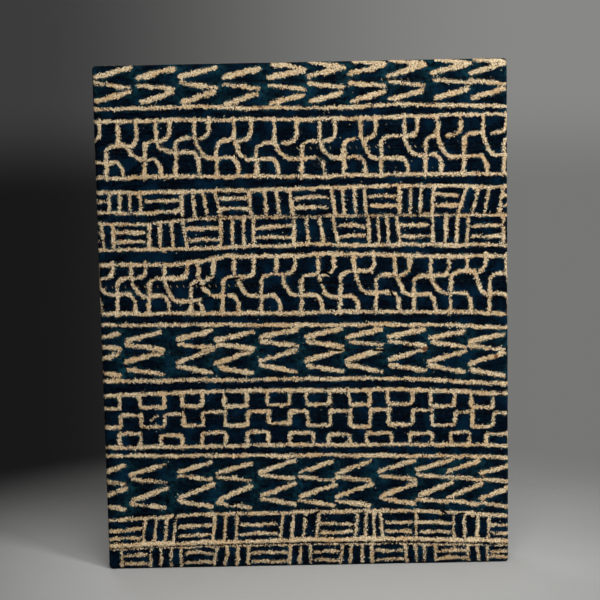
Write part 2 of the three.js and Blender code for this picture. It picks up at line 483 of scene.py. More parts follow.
# %% Chart the wear
Slit = namedtuple("Slit", "from_u from_v to_u to_v width")
SLITS = [
    Slit(82, 493.0, 106, 492.8, 0.9), Slit(97, 446.0, 98, 438.0, 0.8),
    Slit(-136, 360.2, -130, 361.0, 1.4), Slit(-127, 361.2, -118, 360.4, 1.0),
    Slit(19, 303.5, 27, 300.0, 1.5), Slit(-97, 304.0, -92, 301.0, 1.4),
    Slit(-76, 297.0, -64, 298.6, 1.2), Slit(-170, 296.0, -158, 289.0, 1.2),
    Slit(16, 292.5, 37, 290.8, 1.1), Slit(-112, 291.2, -84, 291.0, 1.0),
    Slit(-60, 290.6, -48, 290.8, 0.9), Slit(87, 283.0, 90, 277.0, 1.1),
    Slit(30, 223.4, 38, 223.2, 1.3), Slit(70, 222.6, 80, 222.4, 1.3),
    Slit(-80, 66.5, -76, 65.5, 1.3), Slit(-134, 57.5, -138, 52.0, 1.2),
    Slit(-178, 56.0, -160, 57.4, 0.9), Slit(136, 55.4, 141, 52.6, 1.4),
    Slit(6, 54.5, 12, 57.0, 1.2), Slit(-3, 52.0, 0, 49.0, 1.3),
    Slit(154, 51.5, 160, 52.0, 1.2),
]
Spot = namedtuple("Spot", "u v size")
RUST_SPOTS = [
    Spot(15, 359, 1.2), Spot(42, 183, 1.0), Spot(147, 165, 0.8), Spot(193, 214, 1.1), Spot(121, 223, 1.4),
]
WORN_PATCHES = [Spot(22, 367, 7.5), Spot(60, 415, 2.5), Spot(17, 414, 3.0)]
print(len(SLITS), "slits,", len(RUST_SPOTS), "rust spots,", len(WORN_PATCHES), "worn patches")

# %% [markdown]
# ## Distance to the pattern
# A material can't read a list of strokes, so each point of the cloth is told how far it lies inside the
# nearest stroke, in millimetres, and less than nothing outside. That field is smooth, so a mesh of
# medium fineness can carry it, and the material cuts it into crisp, ragged edges later. The slits get a
# field of the same kind. Round spots are told as a number that is one in their middle and falls off
# softly: the tips of slanting strokes, where the dye crept under the raffia, rust spots and worn patches.

# %% Measure points against the marks
RIM = 7.0
BEYOND_RIM = 3.0
HALO_SIZE = 6.5
HALO_FLATNESS = 1.5
SPOT_SCATTER = 12.9898


def inside_stroke(u, v, rows):
    """How far each point lies inside the nearest step of a stroke, and less than nothing outside."""
    best = np.full(len(u), -RIM)
    reach = RIM + BEYOND_RIM
    near = (rows[:, [1, 4]].min(1) < v.max() + reach) & (rows[:, [1, 4]].max(1) > v.min() - reach)
    for u0, v0, r0, u1, v1, r1 in rows[near]:
        beside = np.abs(u - (u0 + u1) / 2) < abs(u1 - u0) / 2 + reach
        level = np.abs(v - (v0 + v1) / 2) < abs(v1 - v0) / 2 + reach
        close = np.flatnonzero(beside & level)
        if not len(close):
            continue
        du, dv = u1 - u0, v1 - v0
        share = ((u[close] - u0) * du + (v[close] - v0) * dv) / max(du * du + dv * dv, 1e-6)
        share = np.clip(share, 0, 1)
        away = np.hypot(u[close] - u0 - share * du, v[close] - v0 - share * dv)
        best[close] = np.maximum(best[close], r0 + (r1 - r0) * share - away)
    return best


def soft_spots(u, v, spots, flatten=1.0):
    """One in the middle of a spot and nothing far from it, each spot with a strength of its own."""
    total = np.zeros(len(u))
    for number, spot in enumerate(spots):
        reach = 3 * spot.size
        close = np.flatnonzero((np.abs(u - spot.u) < reach) & (np.abs(v - spot.v) < reach))
        if not len(close):
            continue
        strength = 0.25 + 0.75 * abs(math.sin(SPOT_SCATTER * number))
        square = ((u[close] - spot.u) / spot.size) ** 2 + ((v[close] - spot.v) / spot.size * flatten) ** 2
        total[close] = np.maximum(total[close], strength * np.exp(-square / 2))
    return total


slit_rows = np.array([(s.from_u, s.from_v, s.width / 2, s.to_u, s.to_v, s.width / 2) for s in SLITS])
tip_spots = [Spot(u, v, HALO_SIZE) for u, v in stroke_ends]
sample = inside_stroke(np.array([0.0]), np.array([line_height("third", 0)]), segments)
print("the middle of a line lies", sample.round(2), "mm inside its edge")

# %% [markdown]
# ## Bending the cloth round the panel
# Each strip is one sheet: across the front, round both sides and a little way onto the back. A point
# knows its distance s round the panel from the middle of the front. This helper turns s into a place and
# an outward direction. On either side it follows the front, a rounded edge, the side, a second rounded
# edge and the back.

# %% Make the bending helper
def around(s):
    """The place and the outward direction at the distance s round the panel."""
    t = np.abs(s)
    side = np.where(s < 0, -1.0, 1.0)
    first = np.clip((t - FLAT_HALF) / EDGE_RADIUS, 0, math.pi / 2)
    second = np.clip((t - SIDE_END) / EDGE_RADIUS, 0, math.pi / 2)
    x = np.minimum(t, FLAT_HALF) + EDGE_RADIUS * np.sin(first) - EDGE_RADIUS * (1 - np.cos(second))
    x = x - np.maximum(t - BACK_START, 0)
    y = -HALF_DEPTH + EDGE_RADIUS * (1 - np.cos(first)) + np.clip(t - SIDE_START, 0, FLAT_SIDE)
    y = y + EDGE_RADIUS * np.sin(second)
    turned = first + second
    return np.column_stack([side * x, y]), np.column_stack([side * np.sin(turned), -np.cos(turned)])


def spread(start, end, size=GRID):
    """Even steps of about the given size, from start to end."""
    return np.linspace(start, end, max(2, int(round(abs(end - start) / size)) + 1))


HALF_COLUMNS = np.concatenate([
    spread(0, FLAT_HALF), spread(FLAT_HALF, SIDE_START)[1:], spread(SIDE_START, SIDE_END)[1:],
    spread(SIDE_END, BACK_START)[1:], BACK_START + spread(0, FLAT_HALF)[1:],
])
LOOP_COLUMNS = np.concatenate([-HALF_COLUMNS[:0:-1], HALF_COLUMNS])
OPEN_COLUMNS = LOOP_COLUMNS[np.abs(LOOP_COLUMNS) < RETURN_END + GRID / 2]
print(len(OPEN_COLUMNS), "columns round an open strip,", len(LOOP_COLUMNS), "round a closed one")

# %% [markdown]
# ## Patches of cloth
# A strip is put together from patches. A patch is a grid of points, each with a place, an outward
# direction and its cloth coordinates. The seven middle strips are one patch each. The top strip also goes
# over the upper edge and down onto the back, so it has closed rows, a rounded shoulder and a flat roof.
# The bottom strip is the same thing upside down.

# %% Make the patches
Patch = namedtuple("Patch", "place outward cloth")
ROUND_ROWS = 5


def grid(*layers):
    """Layers of numbers, each spread over the rows and columns of the widest, as one grid of points."""
    return np.dstack(np.broadcast_arrays(*layers))


def wall_patch(columns, low, high, rows):
    """A patch that stands up, from the heights low to the heights high of its columns."""
    flat, outward = around(columns)
    share = np.linspace(0, 1, rows + 1)[:, None]
    z = low * (1 - share) + high * share
    place = grid(flat[:, 0], flat[:, 1], z)
    return Patch(place, grid(outward[:, 0], outward[:, 1], 0 * z), grid(columns, z))


def cloth_over_edge(patch):
    """On the back the cloth has come over the edge, so its coordinates run on from there."""
    place, cloth = patch.place, patch.cloth.copy()
    on_back = place[..., 1] > HALF_DEPTH - EDGE_RADIUS / 2
    over = 2 * QUARTER + FLAT_SIDE
    from_top = 2 * (HEIGHT - EDGE_RADIUS) + over - place[..., 2]
    from_foot = 2 * EDGE_RADIUS - over - place[..., 2]
    v = np.where(place[..., 2] > HEIGHT / 2, from_top, from_foot)
    cloth[..., 0] = np.where(on_back, place[..., 0], cloth[..., 0])
    cloth[..., 1] = np.where(on_back, v, cloth[..., 1])
    return patch._replace(cloth=cloth)


def rounded_patch(shoulder, up):
    """The rounded edge between the standing cloth and the roof, all the way round."""
    flat, outward = around(LOOP_COLUMNS)
    turn = np.linspace(0, math.pi / 2, ROUND_ROWS)[:, None]
    inset = EDGE_RADIUS * (1 - np.cos(turn))
    x, y = flat[:, 0] - inset * outward[:, 0], flat[:, 1] - inset * outward[:, 1]
    z = shoulder + up * EDGE_RADIUS * np.sin(turn)
    facing = grid(outward[:, 0] * np.cos(turn), outward[:, 1] * np.cos(turn), up * np.sin(turn))
    return Patch(grid(x, y, z), facing, grid(LOOP_COLUMNS, shoulder + up * EDGE_RADIUS * turn))


def roof_patch(edge_z, shoulder, up):
    """The flat between the rounded edges, over the top bar or under the bottom one."""
    x = np.concatenate([-spread(0, FLAT_HALF)[:0:-1], spread(0, FLAT_HALF)])
    y = (-HALF_DEPTH + EDGE_RADIUS + spread(0, FLAT_SIDE))[:, None]
    v = shoulder + up * (QUARTER + y + HALF_DEPTH - EDGE_RADIUS)
    return Patch(grid(x, y, edge_z), grid(0 * x, 0 * y, float(up)), grid(x, v))


def cap_patches(edge_z, seam, up):
    """The patches of the top strip (up = 1) or the bottom strip (up = -1), from its seam to the far face."""
    shoulder = edge_z - up * EDGE_RADIUS
    return_z = edge_z - up * (TOP_RETURN if up > 0 else BOTTOM_RETURN)
    seam_z = seam_height(seam, around(OPEN_COLUMNS)[0][:, 0]) + up * STRIP_GAP / 2
    open_rows = max(3, int(abs(seam.middle - return_z) / GRID))
    opened = wall_patch(OPEN_COLUMNS, seam_z, 0 * seam_z + return_z, open_rows)
    level = np.zeros(len(LOOP_COLUMNS))
    closed_rows = max(3, int(round(abs(shoulder - return_z) / GRID)))
    closed = wall_patch(LOOP_COLUMNS, level + return_z, level + shoulder, closed_rows)
    rounded = rounded_patch(shoulder, up)
    return [opened, cloth_over_edge(closed), cloth_over_edge(rounded), roof_patch(edge_z, shoulder, up)]


def strip_patches(number):
    """The patches of a strip, counted from the top."""
    if number == 0:
        return cap_patches(HEIGHT, SEAMS[0], 1)
    if number == len(SEAMS):
        return cap_patches(0.0, SEAMS[-1], -1)
    x = around(OPEN_COLUMNS)[0][:, 0]
    high = seam_height(SEAMS[number - 1], x) - STRIP_GAP / 2
    low = seam_height(SEAMS[number], x) + STRIP_GAP / 2
    return [wall_patch(OPEN_COLUMNS, low, high, int(round((high - low).mean() / GRID)))]


print("a middle strip has", strip_patches(3)[0].place.shape[:2], "points")

# %% [markdown]
# ## The relief
# Cloth that was tied, dyed and stretched isn't flat. The outside of each strip gets a slow unevenness, low
# ribs, a soft swelling where the raffia pinched the cloth, and a valley at each seam that every stitch
# pulls deeper. Just above the last seam the eighth strip laps over the ninth, which makes a low ridge.

# %% Make the relief
SEAM_DIP = 0.32
SEAM_REACH = 1.3
STITCHES = 83
STITCH_PITCH = STRIP_LENGTH / STITCHES
PINCH = 0.30
UNEVEN = 0.28
LAP_WIDTH = 5.0
LAP_PROUD = 1.1


def seam_distance(number, place):
    """How far each point is from its strip's nearer seam, in millimetres."""
    x, z = place[:, 0], place[:, 2]
    away = np.full(len(place), 99.0)
    if number > 0:
        away = np.minimum(away, seam_height(SEAMS[number - 1], x) - z)
    if number < len(SEAMS):
        away = np.minimum(away, z - seam_height(SEAMS[number], x))
    return np.maximum(away, 0)


def relief(number, place, cloth, inside):
    """How far each point of a strip's outside stands above the plain sheet."""
    u, v = cloth[:, 0], cloth[:, 1]
    slow = UNEVEN * (0.5 + 0.5 * soft_noise(u, v, 46, 21, 11))
    ribs = 0.10 * soft_noise(u, v, 9, 1.9, 12) + 0.08 * soft_noise(u, v, 2.3, 3.1, 13)
    pinched = PINCH * np.clip(inside / 2.0, 0, 1) * (0.6 + 0.6 * soft_noise(u, v, 2.4, 2.4, 14))
    away = seam_distance(number, place)
    pulled = 0.65 + 0.35 * np.cos(2 * math.pi * (u + RETURN_END) / STITCH_PITCH)
    valley = SEAM_DIP * pulled * np.exp(-((away / SEAM_REACH) ** 2))
    height = slow + ribs + pinched - valley
    if number == len(SEAMS) - 1:
        up = place[:, 2] - seam_height(SEAMS[-1], place[:, 0])
        on_front = np.clip((-HALF_DEPTH + 2.0 - place[:, 1]) / 2.0, 0, 1)
        over = np.clip(1 - (2 * up / LAP_WIDTH - 1) ** 2, 0, 1)
        height += LAP_PROUD * np.sqrt(over) * on_front
    return height


print("relief: unevenness", UNEVEN, "mm, swelling about", PINCH, "mm, seams", SEAM_DIP, "mm deep")

# %% [markdown]
# ## From patches to a sheet
# A sheet is made from its patches in a few steps. Points in the same place are welded, so that the patches
# hang together, and every face is turned to look outwards. The inside is the same grid, a cloth's
# thickness deeper. A rim face goes onto each edge that only one face uses, which is how the cut edge of
# the cloth is found. Where a rounded corner draws two points of a face together, it becomes a triangle.

# %% Make the helpers for a sheet
WELD = 1e-3


def grid_faces(patches):
    """The four corners of every face, counted through all the patches."""
    faces = []
    start = 0
    for patch in patches:
        rows, columns = patch.place.shape[:2]
        index = start + np.arange(rows * columns).reshape(rows, columns)
        quads = np.stack([index[:-1, :-1], index[:-1, 1:], index[1:, 1:], index[1:, :-1]], -1)
        faces.append(quads.reshape(-1, 4))
        start += rows * columns
    return np.concatenate(faces)


def welded(places):
    """The first point at each place, and for every point the number of the one it becomes."""
    cells = np.round(places / WELD).astype(int)
    first, becomes = np.unique(cells, axis=0, return_index=True, return_inverse=True)[1:]
    return first, becomes.ravel()


def turned_inwards(place, outward, quads):
    """Which faces are turned the wrong way round, from their diagonals."""
    a, b, c, d = (place[quads[:, k]] for k in range(4))
    return (np.cross(c - a, d - b) * outward).sum(1) < 0


def rim_of(quads, count):
    """Faces from each edge that only one face uses to the same edge on the inside of the sheet."""
    edges = np.concatenate([quads[:, [k, (k + 1) % 4]] for k in range(4)])
    keys = edges.min(1) * count + edges.max(1)
    where, times = np.unique(keys, return_index=True, return_counts=True)[1:]
    rim = edges[where[times == 1]]
    rim = rim[rim[:, 0] != rim[:, 1]]
    return np.column_stack([rim[:, 1], rim[:, 0], rim[:, 0] + count, rim[:, 1] + count])


def without_doubles(quads, coordinates):
    """Faces as lists of corners, with a corner left out where two of them have become one."""
    polygons, uvs = [], []
    for face, corner in zip(quads.tolist(), coordinates.tolist()):
        kept = [k for k in range(4) if face[k] != face[k - 1]]
        if len(kept) > 2:
            polygons.append([face[k] for k in kept])
            uvs.extend(corner[k] for k in kept)
    return polygons, uvs


print("points closer than", WELD, "mm become one")

# %% [markdown]
# ## The marks on a strip
# A material can't know where a stroke was sewn or where the cloth was torn. So each point of the cloth
# carries six numbers: how deep it lies inside a stroke or a slit, how near it is to a soft tip, a rust
# spot or a worn patch, and how far the nearest seam is.

# %% Make the marks that the material reads
FAR_FROM_SEAM = 20.0


def strip_marks(number, place, u, v, inside):
    """The six numbers of each point, by name."""
    return {
        "resist": inside,
        "tip": soft_spots(u, v, tip_spots, flatten=HALO_FLATNESS),
        "slit": inside_stroke(u, v, slit_rows),
        "rust": soft_spots(u, v, RUST_SPOTS),
        "worn": soft_spots(u, v, WORN_PATCHES),
        "seam": np.minimum(seam_distance(number, place), FAR_FROM_SEAM),
    }


print("seams count up to", FAR_FROM_SEAM, "mm away")

# %% [markdown]
# ## The nine strips
# Each strip is a closed sheet as thick as the cloth: an outside with the relief, an inside that stays
# smooth against the frame, and a rim round its cut edges. Its UV map holds the cloth's own coordinates in
# metres, so a thread has the same size everywhere.

# %% Build the nine strips
def cloth_mesh(name, places, polygons, uvs, marks):
    """A mesh in metres with the cloth's coordinates as its UV map, and the marks on both of its faces."""
    mesh = bpy.data.meshes.new(name)
    mesh.from_pydata((places * MM).tolist(), [], polygons)
    layer = mesh.uv_layers.new(name="cloth")
    layer.uv.foreach_set("vector", (np.array(uvs) * MM).astype(np.float32).ravel())
    for title, values in marks.items():
        attribute = mesh.attributes.new(title, "FLOAT", "POINT")
        attribute.data.foreach_set("value", np.tile(values, 2).astype(np.float32))
    mesh.polygons.foreach_set("use_smooth", np.ones(len(mesh.polygons), bool))
    return mesh


def build_strip(number, name):
    """One strip as a closed sheet, counted from the top."""
    patches = strip_patches(number)
    place = np.concatenate([patch.place.reshape(-1, 3) for patch in patches])
    outward = np.concatenate([patch.outward.reshape(-1, 3) for patch in patches])
    cloth = np.concatenate([patch.cloth.reshape(-1, 2) for patch in patches])
    corners = grid_faces(patches)
    first, becomes = welded(place)
    quads = becomes[corners]
    turned = turned_inwards(place[first], outward[corners[:, 0]], quads)
    quads[turned], corners[turned] = quads[turned, ::-1], corners[turned, ::-1]

    place, outward, coordinates = place[first], outward[first], cloth[first]
    outward = outward / np.linalg.norm(outward, axis=1)[:, None]
    u, v = coordinates.T
    inside = inside_stroke(u, v, segments)
    outer = place + outward * relief(number, place, coordinates, inside)[:, None]
    if number == len(SEAMS):
        outer[:, 2] = np.maximum(outer[:, 2], 0)
    inner = place - outward * CLOTH

    count = len(place)
    rim = rim_of(quads, count)
    all_quads = np.concatenate([quads, quads[:, ::-1] + count, rim])
    all_cloth = np.concatenate([cloth[corners], cloth[corners[:, ::-1]], coordinates[rim % count]])
    polygons, uvs = without_doubles(all_quads, all_cloth)
    marks = strip_marks(number, place, u, v, inside)
    mesh = cloth_mesh(name, np.concatenate([outer, inner]), polygons, uvs, marks)
    piece = bpy.data.objects.new(name, mesh)
    bpy.context.scene.collection.objects.link(piece)
    return piece


strips = [build_strip(number, name + "_cloth") for number, name in enumerate(STRIP_NAMES)]
print("strips have", sum(len(s.data.polygons) for s in strips), "faces")

# %% [markdown]
# ## Helpers for materials
# A material here is a small graph of nodes. Short helpers keep the graphs readable: they add a node and
# fill its inputs, do arithmetic, mix two colours, stretch a range of values softly, scatter dots and make
# a bump. Colours are given as in a picture editor and turned into linear light.

# %% Make the node helpers
def srgb(red, green, blue):
    """A colour as a picture editor shows it, 0 to 255, turned into the linear light that Blender uses."""
    linear = [((c / 255 + 0.055) / 1.055) ** 2.4 if c > 10 else c / 255 / 12.92 for c in (red, green, blue)]
    return (*linear, 1.0)


class Nodes:
    """The nodes of any tree, with short ways to add them and fill their inputs."""

    def __init__(self, tree):
        self.tree, self.nodes, self.links = tree, tree.nodes, tree.links

    def put(self, socket, value):
        """Link another socket to this one, or set its plain value."""
        if isinstance(value, bpy.types.NodeSocket):
            self.links.new(value, socket)
        elif value is not None:
            socket.default_value = value

    def add(self, kind, inputs=(), output=0, **settings):
        """Add a node and give back one of its outputs."""
        node = self.nodes.new(kind)
        for key, value in settings.items():
            setattr(node, key, value)
        for key, value in dict(inputs).items():
            self.put(node.inputs[key], value)
        return node.outputs[output]

    def math(self, operation, a, b=None, c=None):
        return self.add("ShaderNodeMath", {0: a, 1: b, 2: c}, operation=operation)

    def mix(self, share, a, b):
        return self.add("ShaderNodeMix", {0: share, 6: a, 7: b}, output=2, data_type="RGBA")

    def ramp(self, value, low, high, start=0.0, end=1.0):
        """Stretch low to high into start to end, with soft ends."""
        inputs = {"Value": value, "From Min": low, "From Max": high, "To Min": start, "To Max": end}
        return self.add("ShaderNodeMapRange", inputs, interpolation_type="SMOOTHSTEP")


class Graph(Nodes):
    """A material's nodes, round its one shader."""

    def __init__(self, name):
        self.material = bpy.data.materials.new(name)
        self.material.use_nodes = True
        super().__init__(self.material.node_tree)
        self.shader = self.nodes["Principled BSDF"]

    def vector(self, operation, a, b):
        return self.add("ShaderNodeVectorMath", {0: a, 1: b}, operation=operation)

    def noise(self, vector, scale, detail=2.0, roughness=0.5, output=0):
        inputs = {"Vector": vector, "Scale": scale, "Detail": detail, "Roughness": roughness}
        return self.add("ShaderNodeTexNoise", inputs, output=output)

    def attribute(self, name):
        return self.add("ShaderNodeAttribute", output=2, attribute_name=name)

    def moved(self, vector, right, up):
        return self.vector("ADD", vector, (right, up, 0))

    def dots(self, vector, scale, edge, channel, chosen):
        """Round dots, one in each cell of a random tiling, kept where the cell's random colour is chosen."""
        cells = {"Vector": vector, "Scale": scale}
        away = self.add("ShaderNodeTexVoronoi", cells, output=0)
        colour = self.add("ShaderNodeTexVoronoi", cells, output=1)
        drawn = self.add("ShaderNodeSeparateColor", {0: colour}, output=channel)
        return self.math("MULTIPLY", self.ramp(away, *edge), self.ramp(drawn, *chosen))

    def bump(self, height, distance, strength):
        inputs = {"Height": height, "Distance": distance, "Strength": strength}
        return self.add("ShaderNodeBump", inputs)


print("node helpers ready:", [name for name in vars(Graph) if not name.startswith("_")])

# %% [markdown]
# ## Where the dye stopped
# One material dresses all nine strips. It reads the cloth's own coordinates, so the weave and the pattern
# follow the cloth round the edges. The distance field is first made uneven at four scales: strokes swell
# and thin as they go, their sides are ragged and toothed where the raffia bit, and the finest step is one
# thread, because dye stops at a thread. Then the field is cut near zero: above is undyed cotton, below is
# indigo. A painted picture could show the same, but this way the edge stays sharp from close by.

# %% Find the edge of the dye
WARP_PITCH = 0.95
WEFT_PITCH = 1.15
Cloth = namedtuple("Cloth", "mm thread chance rough field pale")


def dye_edge(g):
    """The cloth's coordinates, and how far each point lies past the edge of the dye."""
    uv = g.add("ShaderNodeUVMap", uv_map="cloth")
    mm = g.vector("MULTIPLY", uv, (1 / MM, 1 / MM, 0))
    thread = g.vector("MULTIPLY", mm, (1 / WEFT_PITCH, 1 / WARP_PITCH, 0))
    cell = g.vector("FLOOR", thread, (0, 0, 0))
    chance = g.add("ShaderNodeTexWhiteNoise", {"Vector": cell}, output=0, noise_dimensions="2D")
    swell = g.math("MULTIPLY_ADD", g.noise(mm, 0.085, 1.0), 3.0, -1.55)
    ragged = g.math("MULTIPLY_ADD", g.noise(mm, 0.33, 2.0, 0.6), 2.6, -1.3)
    upright = g.vector("MULTIPLY", mm, (1.15, 0.45, 0))
    toothed = g.math("MULTIPLY_ADD", g.noise(upright, 1.0, 1.0, 0.6), 5.2, -2.6)
    stepped = g.math("MULTIPLY_ADD", chance, 1.2, -0.60)
    rough = g.math("ADD", g.math("ADD", ragged, toothed), stepped)
    field = g.math("ADD", g.math("ADD", g.attribute("resist"), swell), rough)
    worn_off = g.math("MULTIPLY", g.attribute("worn"), g.math("MULTIPLY", chance, 3.2))
    field = g.math("SUBTRACT", field, worn_off)
    return Cloth(mm, thread, chance, rough, field, g.ramp(field, -0.05, 0.22))


print(f"threads are {WARP_PITCH} mm apart one way and {WEFT_PITCH} mm the other")

# %% [markdown]
# ## The indigo ground
# Indigo is never one blue. The weft took it in long streaks, single threads stayed lighter, and whole
# areas are a little greener where the cloth was dipped once less. Along the strokes, and most of all round
# the tips of slanting ones, the dye crept in thinly and left a teal halo. Tiny pale specks are lint.

# %% Dye the ground
BLACK_BLUE, NAVY = srgb(0, 1, 5), srgb(2, 15, 28)
THREAD_BLUE, DIPPED_BLUE = srgb(8, 36, 52), srgb(3, 30, 48)
TEAL, WORN_GREY, LINT = srgb(22, 64, 74), srgb(92, 96, 92), srgb(190, 188, 168)


def indigo_ground(g, cloth):
    """The colour of the cloth where the dye reached it."""
    lengthwise = g.vector("MULTIPLY", cloth.mm, (0.085, 1.0, 0))
    streak = g.ramp(g.noise(lengthwise, 0.60, 3.0, 0.68), 0.42, 0.66)
    blotch = g.ramp(g.noise(cloth.mm, 0.045, 3.0, 0.55), 0.48, 0.72, 0, 0.8)
    blue = g.mix(streak, BLACK_BLUE, NAVY)
    blue = g.mix(g.ramp(cloth.chance, 0.78, 1.0, 0, 0.55), blue, THREAD_BLUE)
    blue = g.mix(blotch, blue, DIPPED_BLUE)
    beside = g.ramp(cloth.field, -2.6, -0.2, 0, 0.55)
    creep = g.math("MULTIPLY", beside, g.ramp(g.noise(cloth.mm, 0.11, 2.0), 0.48, 0.68))
    cloudy = g.ramp(g.noise(cloth.mm, 0.22, 3.0, 0.6), 0.36, 0.62, 0, 0.85)
    halo = g.math("MULTIPLY", g.attribute("tip"), cloudy)
    blue = g.mix(g.math("MAXIMUM", creep, halo), blue, TEAL)
    worn = g.math("MULTIPLY", g.attribute("worn"), g.ramp(cloth.chance, 0.72, 0.9, 0, 0.6))
    blue = g.mix(worn, blue, WORN_GREY)
    lint = g.dots(cloth.mm, 0.16, (0.12, 0.06), 1, (0.80, 0.84))
    return g.mix(g.math("MULTIPLY", lint, g.ramp(cloth.field, -5.5, -1.5, 0.25, 0.9)), blue, LINT)


print("at its darkest the ground is", [round(c, 4) for c in BLACK_BLUE[:3]])

# %% [markdown]
# ## The raw cotton
# The undyed cotton has yellowed with age. It is mottled, with a darker thread here and there and a paler
# one painted bright as a highlight. It is browner in large areas, darker towards the foot as painted shade,
# and has small tea-coloured and greenish stains. Some strokes have a painted brown shade along their
# edges, in patches. Dark dots are the holes that the needle left, painted dark as the shade inside them.

# %% Leave the cotton raw
COTTON_SHADE, COTTON_LIGHT = srgb(118, 92, 61), srgb(230, 209, 171)
# The second and third colours here are painted shade: at the foot and along the edges of strokes.
AGED, FOOT_SHADE, EDGE_SHADE = srgb(188, 150, 102), srgb(104, 80, 52), srgb(148, 100, 58)
TEA_STAIN, GREEN_STAIN = srgb(190, 144, 100), srgb(138, 134, 96)
# The first colour here is a paler thread painted bright as a highlight; the last is the painted shade inside
# a needle hole.
PALE_THREAD_HIGHLIGHT, DARK_THREAD, HOLE_SHADE = srgb(246, 232, 202), srgb(66, 52, 38), srgb(26, 18, 14)
# Heights in millimetres where the painted shade at the foot begins and where it is full.
FOOT_SHADE_TOP, FOOT_SHADE_FULL = 24.0, 4.0


def raw_cotton(g, cloth, hole):
    """The colour of the cloth where the raffia kept the dye off."""
    mottle = g.ramp(g.noise(cloth.mm, 0.75, 2.0, 0.7), 0.34, 0.60)
    raw = g.mix(mottle, COTTON_SHADE, COTTON_LIGHT)
    raw = g.mix(g.ramp(g.noise(g.moved(cloth.mm, 29, 83), 0.028, 3.0, 0.65), 0.42, 0.66, 0, 0.55), raw, AGED)
    height = g.add("ShaderNodeSeparateXYZ", {0: cloth.mm}, output=1)
    # Painted shade: the cotton darkens towards the foot, where less light reaches it.
    raw = g.mix(g.ramp(height, FOOT_SHADE_TOP, FOOT_SHADE_FULL, 0, 0.40), raw, FOOT_SHADE)
    raw = g.mix(g.ramp(g.noise(g.moved(cloth.mm, 71, 13), 0.30), 0.56, 0.74, 0, 0.5), raw, TEA_STAIN)
    raw = g.mix(g.ramp(g.noise(g.moved(cloth.mm, 19, 57), 0.36), 0.58, 0.72, 0, 0.5), raw, GREEN_STAIN)
    # Painted shade: a brown shade just inside the edge of some strokes, in patches.
    edge_shade_patches = g.ramp(g.noise(cloth.mm, 0.16), 0.44, 0.62, 0, 0.40)
    raw = g.mix(g.math("MULTIPLY", g.ramp(cloth.field, 1.3, 0.2), edge_shade_patches), raw, EDGE_SHADE)
    # A paler thread here and there, painted bright as a highlight.
    raw = g.mix(g.ramp(cloth.chance, 0.84, 1.0, 0, 0.65), raw, PALE_THREAD_HIGHLIGHT)
    raw = g.mix(g.ramp(cloth.chance, 0.15, 0.0, 0, 0.8), raw, DARK_THREAD)
    # Needle holes, painted dark as the shade inside them.
    return g.mix(hole, raw, HOLE_SHADE)


print("at its palest the cotton is", [round(c, 3) for c in COTTON_LIGHT[:3]])

# %% [markdown]
# ## The whole cloth
# The two colours are put together where the dye stopped. Over both come the rust, the shadow that the
# pulled thread leaves in a seam, and the torn slits, painted near black as the shade seen through them.
# The bump is a plain weave, one swelling for each crossing of two threads, with fluff over it and a softer
# puff on the raw cotton, which was never pressed.

# %% Mix the cloth's material
# The last two colours are painted shade: in the seams and through the torn slits.
RUST, SEAM_SHADOW, SLIT_SHADE = srgb(108, 62, 28), srgb(3, 9, 16), srgb(2, 3, 5)


def weave_height(g, cloth, fluff, damage):
    """The fine relief for the bump, in millimetres."""
    wave = g.vector("MULTIPLY", cloth.thread, (math.pi, math.pi, 0))
    weft = g.math("SINE", g.add("ShaderNodeSeparateXYZ", {0: wave}, output=0))
    warp = g.math("SINE", g.add("ShaderNodeSeparateXYZ", {0: wave}, output=1))
    weave = g.math("ABSOLUTE", g.math("MULTIPLY", weft, warp))
    puff = g.math("MULTIPLY", g.noise(cloth.mm, 0.6, 2.0, 0.6), cloth.pale)
    height = g.math("MULTIPLY_ADD", weave, 0.16, g.math("MULTIPLY", fluff, 0.32))
    height = g.math("ADD", height, g.math("MULTIPLY", puff, 0.56))
    return g.math("SUBTRACT", height, g.math("MULTIPLY", damage, 0.5))


def cotton_material():
    g = Graph("indigo_cotton")
    cloth = dye_edge(g)
    # Where the needle holes are: painted dark as the shade inside them in the colour, and sunk in the bump.
    hole = g.dots(cloth.mm, 0.19, (0.13, 0.07), 0, (0.62, 0.66))
    colour = g.mix(cloth.pale, indigo_ground(g, cloth), raw_cotton(g, cloth, hole))
    colour = g.mix(g.ramp(g.attribute("rust"), 0.08, 0.30, 0, 0.9), colour, RUST)
    colour = g.mix(g.ramp(g.attribute("seam"), 0.6, 0.1, 0, 0.35), colour, SEAM_SHADOW)
    torn = g.math("ADD", g.attribute("slit"), g.math("MULTIPLY", cloth.rough, 0.35))
    torn = g.ramp(torn, -0.72, -0.22)
    fluff = g.noise(cloth.mm, 1.4, 3.0, 0.65)
    height = weave_height(g, cloth, fluff, g.math("ADD", hole, torn))
    # Torn slits, painted near black as the shade seen through them.
    g.put(g.shader.inputs["Base Color"], g.mix(torn, colour, SLIT_SHADE))
    g.put(g.shader.inputs["Normal"], g.bump(height, MM, 0.85))
    g.put(g.shader.inputs["Roughness"], g.ramp(fluff, 0.2, 0.8, 0.82, 0.98))
    g.shader.inputs["Specular IOR Level"].default_value = 0.03
    g.shader.inputs["Sheen Weight"].default_value = 0.006
    g.shader.inputs["Sheen Roughness"].default_value = 0.5
    return g.material


cotton = cotton_material()
for piece in strips:
    piece.data.materials.append(cotton)
print("cotton has", len(cotton.node_tree.nodes), "nodes")

# %% [markdown]
# ## The bars
# The stretcher's bars are plain softwood. Its grain runs along each bar, so the lying bars and the
# standing bars get the same material, turned. Fine dark lines are the late wood of each year, wider
# shades come from the board's cut, and small knots are where twigs grew.

# %% Mix the pine
EARLY_WOOD, LATE_WOOD, KNOT = srgb(205, 170, 122), srgb(158, 112, 68), srgb(96, 60, 34)
BOARD_SHADE, FIBRE_SHADE = srgb(186, 146, 98), srgb(140, 102, 64)


